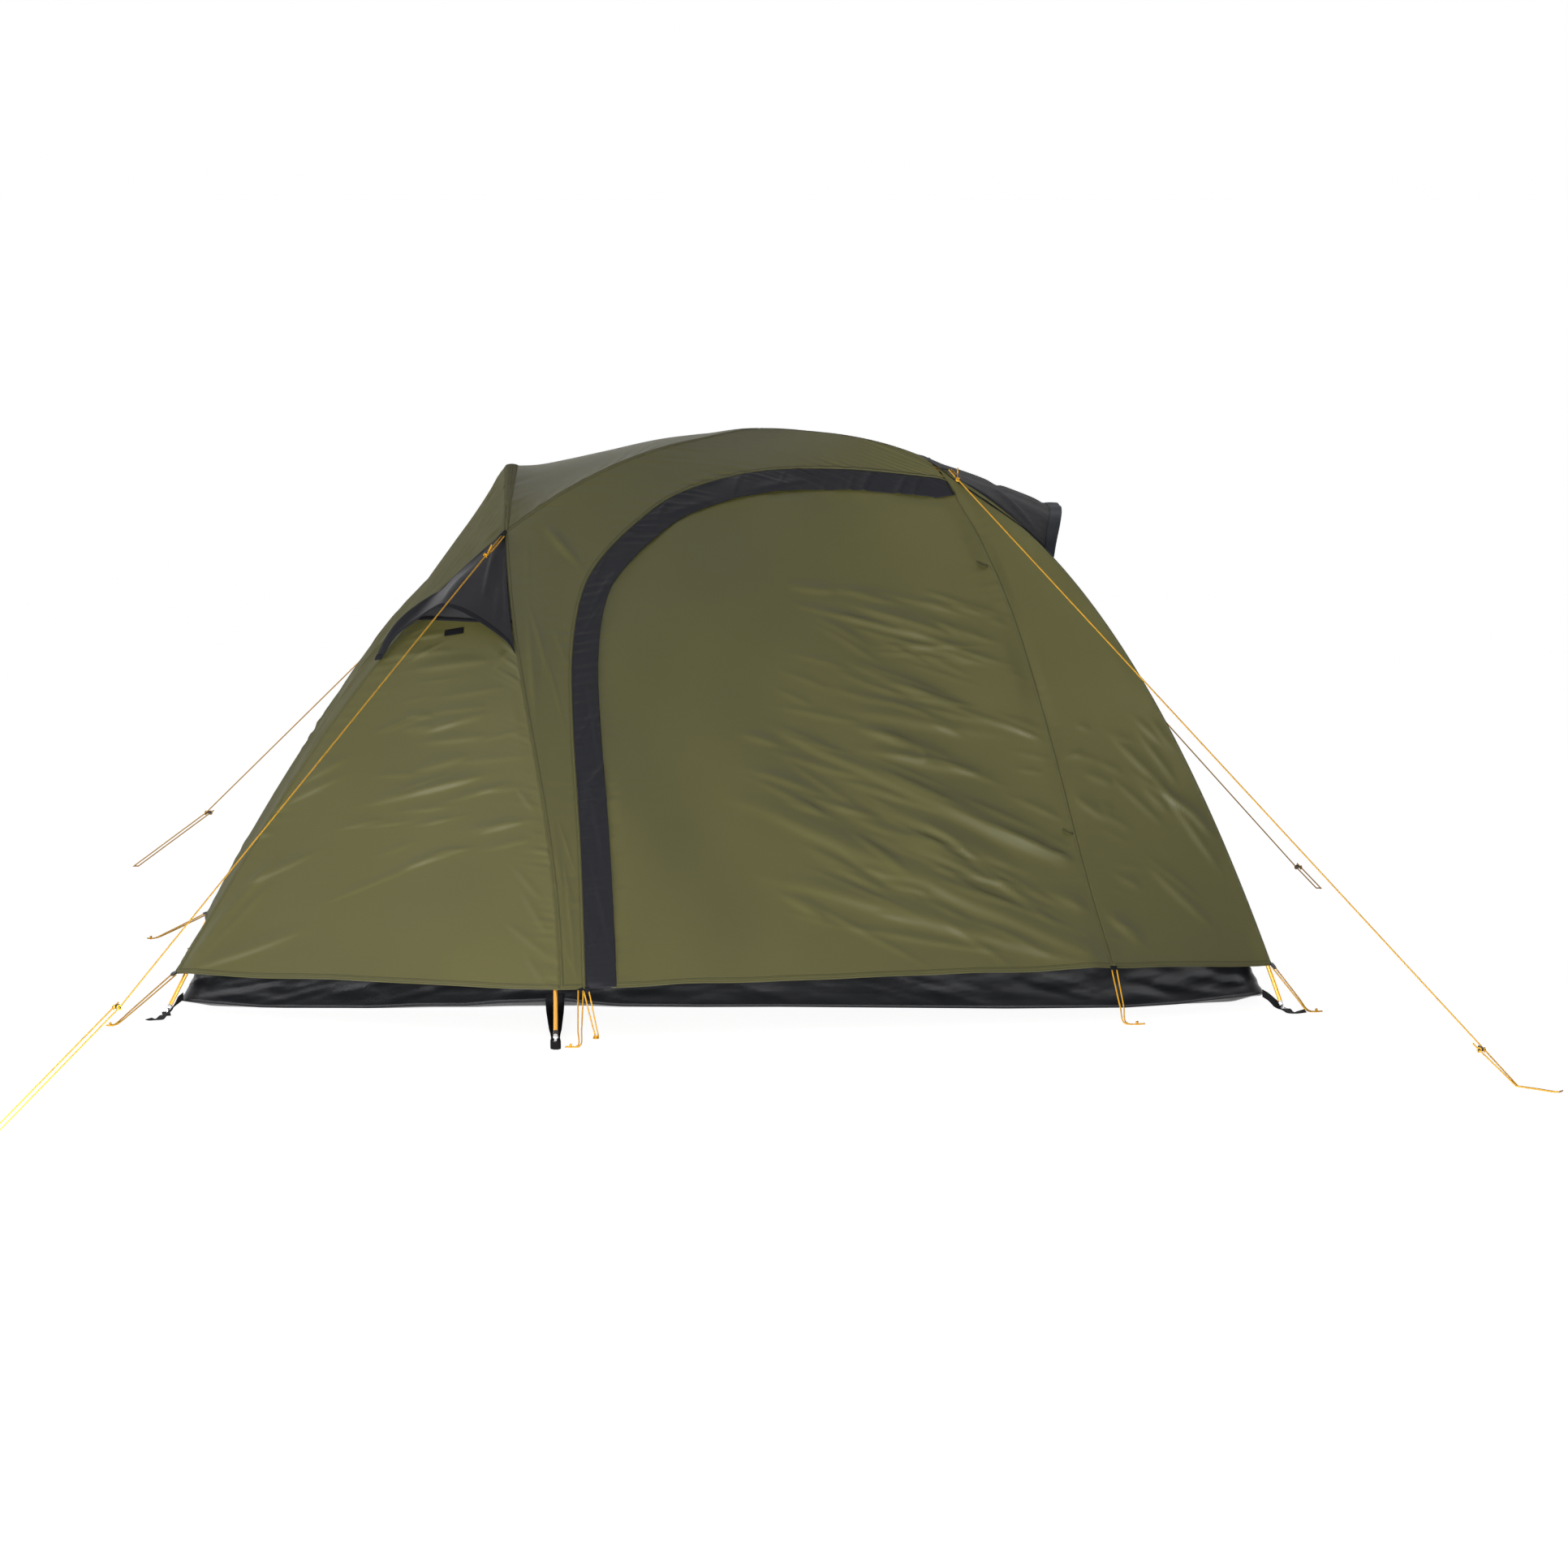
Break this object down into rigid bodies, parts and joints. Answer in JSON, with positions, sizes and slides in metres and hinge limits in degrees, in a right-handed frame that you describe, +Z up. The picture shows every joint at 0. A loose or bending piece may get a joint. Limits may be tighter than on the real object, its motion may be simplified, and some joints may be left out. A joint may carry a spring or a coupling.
{
  "type": "trekking tent",
  "caption": "Pitched trekking tent with crossing poles, a hoop pole over its porches, a vented fly with zipped doors, an inner tent on a tub floor, and guy lines.",
  "frame": {"origin": "on the ground under the middle of the tent, midway between the ground straps of both ends and both sides", "axes": "+Z up; +X along the sleeping length towards the end with the single large vent hood; the near porch faces -Y and the far porch +Y"},
  "size_m": [2.8449, 5.5548, 1.1701],
  "materials": {
    "fly_cloth": "coated olive polyester, soft sheen",
    "trim_cloth": "coated black polyester, soft sheen",
    "floor_cloth": "heavier coated black groundsheet, some gloss",
    "inner_cloth": "thin breathable polyester, matt",
    "inner_mesh": "fine black insect mesh",
    "webbing": "black ribbed webbing",
    "cord": "orange braided cord",
    "pole": "orange anodised tube",
    "pole_tip": "bare satin aluminium",
    "plastic": "black moulded"
  },
  "bodies": {
    "tent": {"cross_pole_a": "pole", "cross_pole_b": "pole", "hoop_pole": "pole", "cross_pole_a_left_tip": "pole_tip", "cross_pole_a_right_tip": "pole_tip", "cross_pole_b_left_tip": "pole_tip", "cross_pole_b_right_tip": "pole_tip", "hoop_pole_near_tip": "pole_tip", "hoop_pole_far_tip": "pole_tip", "tub_floor": "floor_cloth", "inner_wall_near": "inner_cloth", "inner_wall_far": "inner_cloth", "inner_wall_left": "inner_cloth", "inner_wall_right": "inner_cloth", "strap_near_left": "webbing", "strap_near_right": "webbing", "strap_far_left": "webbing", "strap_far_right": "webbing", "hoop_strap_near": "webbing", "hoop_strap_far": "webbing", "fly_side_near": "fly_cloth", "fly_side_far": "fly_cloth", "fly_right_gore_near": "fly_cloth", "fly_right_gore_far": "fly_cloth", "fly_left_gore_near": "fly_cloth", "fly_left_gore_far": "fly_cloth", "side_vent_hood_near": "trim_cloth", "side_vent_hood_far": "trim_cloth", "fly_left_end": "fly_cloth", "fly_roof": "fly_cloth", "fly_right_top": "fly_cloth", "fly_right_end": "fly_cloth", "end_vent_hood": "trim_cloth", "guy_line_near_left": "cord", "guy_line_near_right": "cord", "guy_line_far_left": "cord", "guy_line_far_right": "cord", "hem_loop_near_left": "cord", "hem_loop_near_hoop": "cord", "hem_loop_near_zip": "cord", "hem_loop_near_seam": "cord", "hem_loop_near_right": "cord", "hem_loop_far_left": "cord", "hem_loop_far_hoop": "cord", "hem_loop_far_zip": "cord", "hem_loop_far_seam": "cord", "hem_loop_far_right": "cord"},
    "near_door": {"fly_door_near": "fly_cloth", "zip_flap_near": "trim_cloth"},
    "far_door": {"fly_door_far": "fly_cloth", "zip_flap_far": "trim_cloth"},
    "near_inner_door": {"inner_door_near": "inner_mesh"},
    "far_inner_door": {"inner_door_far": "inner_mesh"},
    "near_zip_slider": {"zip_slider_near": "plastic"},
    "far_zip_slider": {"zip_slider_far": "plastic"},
    "near_left_tensioner": {"guy_tensioner_near_left": "plastic"},
    "near_right_tensioner": {"guy_tensioner_near_right": "plastic"},
    "far_left_tensioner": {"guy_tensioner_far_left": "plastic"},
    "far_right_tensioner": {"guy_tensioner_far_right": "plastic"}
  },
  "joints": [
    {"name": "near_door_swing", "type": "hinge", "parent": "tent", "child": "near_door", "pos_m": [0.778, -0.857, 0.107], "axis": [-0.2727, 0.4509, 0.8499], "range_deg": [0, 95]},
    {"name": "far_door_swing", "type": "hinge", "parent": "tent", "child": "far_door", "pos_m": [0.778, 0.857, 0.107], "axis": [0.2727, 0.4509, -0.8499], "range_deg": [0, 95]},
    {"name": "near_inner_door_swing", "type": "hinge", "parent": "tent", "child": "near_inner_door", "pos_m": [0.3943, -0.5609, 0.2668], "axis": [0.2912, -0.3741, -0.8805], "range_deg": [0, 45]},
    {"name": "far_inner_door_swing", "type": "hinge", "parent": "tent", "child": "far_inner_door", "pos_m": [0.3943, 0.5609, 0.2668], "axis": [-0.2912, -0.3741, 0.8805], "range_deg": [0, 45]},
    {"name": "near_zip_slide", "type": "slide", "parent": "tent", "child": "near_zip_slider", "axis": [0, 0.6655, 0.7464], "range_m": [0, 0.3]},
    {"name": "far_zip_slide", "type": "slide", "parent": "tent", "child": "far_zip_slider", "axis": [0, -0.6655, 0.7464], "range_m": [0, 0.3]},
    {"name": "near_left_tensioner_slide", "type": "slide", "parent": "tent", "child": "near_left_tensioner", "axis": [-0.3345, -0.8954, -0.294], "range_m": [0, 0.25]},
    {"name": "near_right_tensioner_slide", "type": "slide", "parent": "tent", "child": "near_right_tensioner", "axis": [0.4453, -0.7678, -0.4607], "range_m": [0, 0.06]},
    {"name": "far_left_tensioner_slide", "type": "slide", "parent": "tent", "child": "far_left_tensioner", "axis": [-0.3345, 0.8954, -0.294], "range_m": [0, 0.25]},
    {"name": "far_right_tensioner_slide", "type": "slide", "parent": "tent", "child": "far_right_tensioner", "axis": [0.4453, 0.7678, -0.4607], "range_m": [0, 0.06]}
  ]
}
